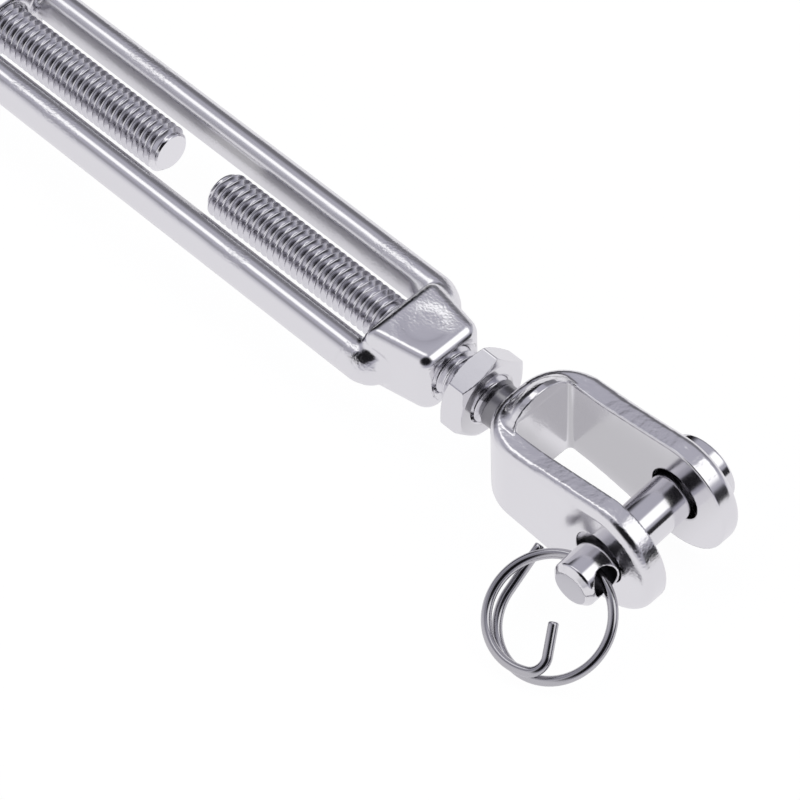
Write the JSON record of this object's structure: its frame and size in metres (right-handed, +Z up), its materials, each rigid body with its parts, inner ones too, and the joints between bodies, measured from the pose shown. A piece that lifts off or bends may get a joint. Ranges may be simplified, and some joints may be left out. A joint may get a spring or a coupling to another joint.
{
  "type": "shroud adjuster",
  "caption": "Open-body rigging screw with a clevis jaw at each end, lock nuts, clevis pins and split rings, for setting the tension of a shroud.",
  "frame": {"origin": "on the floor the part lies on, midway between the two jaws, under the screw axis", "axes": "+X along the screw axis towards the jaw with the right-hand thread, +Z up, Y along the clevis pins"},
  "size_m": [0.1614, 0.0446, 0.0158],
  "materials": {
    "polished_stainless": "polished"
  },
  "bodies": {
    "body": {"body": "polished_stainless"},
    "fork_right": {"fork_right": "polished_stainless"},
    "lock_nut_right": {"lock_nut_right": "polished_stainless"},
    "clevis_pin_right": {"clevis_pin_right": "polished_stainless"},
    "split_ring_right": {"split_ring_right": "polished_stainless"},
    "fork_left": {"fork_left": "polished_stainless"},
    "lock_nut_left": {"lock_nut_left": "polished_stainless"},
    "clevis_pin_left": {"clevis_pin_left": "polished_stainless"},
    "split_ring_left": {"split_ring_left": "polished_stainless"}
  },
  "joints": [
    {"name": "nut_travel_right", "type": "slide", "parent": "body", "child": "lock_nut_right", "axis": [1, 0, 0], "range_m": [-0.00248, 0.0293]},
    {"name": "jaw_turn_right", "type": "hinge", "parent": "lock_nut_right", "child": "fork_right", "pos_m": [0.0728, 0, 0.0075], "axis": [1, 0, 0], "range_deg": [-880, 10440]},
    {"name": "pin_turn_right", "type": "hinge", "parent": "fork_right", "child": "clevis_pin_right", "pos_m": [0.0728, 0, 0.00717], "axis": [-0.0384, 0.9992, 0.0052], "continuous": true},
    {"name": "ring_swing_right", "type": "hinge", "parent": "clevis_pin_right", "child": "split_ring_right", "pos_m": [0.07317, -0.00959, 0.00712], "axis": [0.9993, 0.0384, 0], "range_deg": [-120, 66]},
    {"name": "nut_travel_left", "type": "slide", "parent": "body", "child": "lock_nut_left", "axis": [-1, 0, 0], "range_m": [-0.00248, 0.0293]},
    {"name": "jaw_turn_left", "type": "hinge", "parent": "lock_nut_left", "child": "fork_left", "pos_m": [-0.0728, 0, 0.0075], "axis": [1, 0, 0], "range_deg": [-880, 10440]},
    {"name": "pin_turn_left", "type": "hinge", "parent": "fork_left", "child": "clevis_pin_left", "pos_m": [-0.0728, 0, 0.00717], "axis": [0.0384, -0.9992, 0.0052], "continuous": true},
    {"name": "ring_swing_left", "type": "hinge", "parent": "clevis_pin_left", "child": "split_ring_left", "pos_m": [-0.07317, 0.00959, 0.00712], "axis": [-0.9993, -0.0384, 0], "range_deg": [-120, 66]}
  ],
  "couplings": [
    {"joint": "nut_travel_right", "follows": "jaw_turn_right", "m_per_rad": 0.00015915},
    {"joint": "nut_travel_left", "follows": "jaw_turn_left", "m_per_rad": 0.00015915}
  ]
}
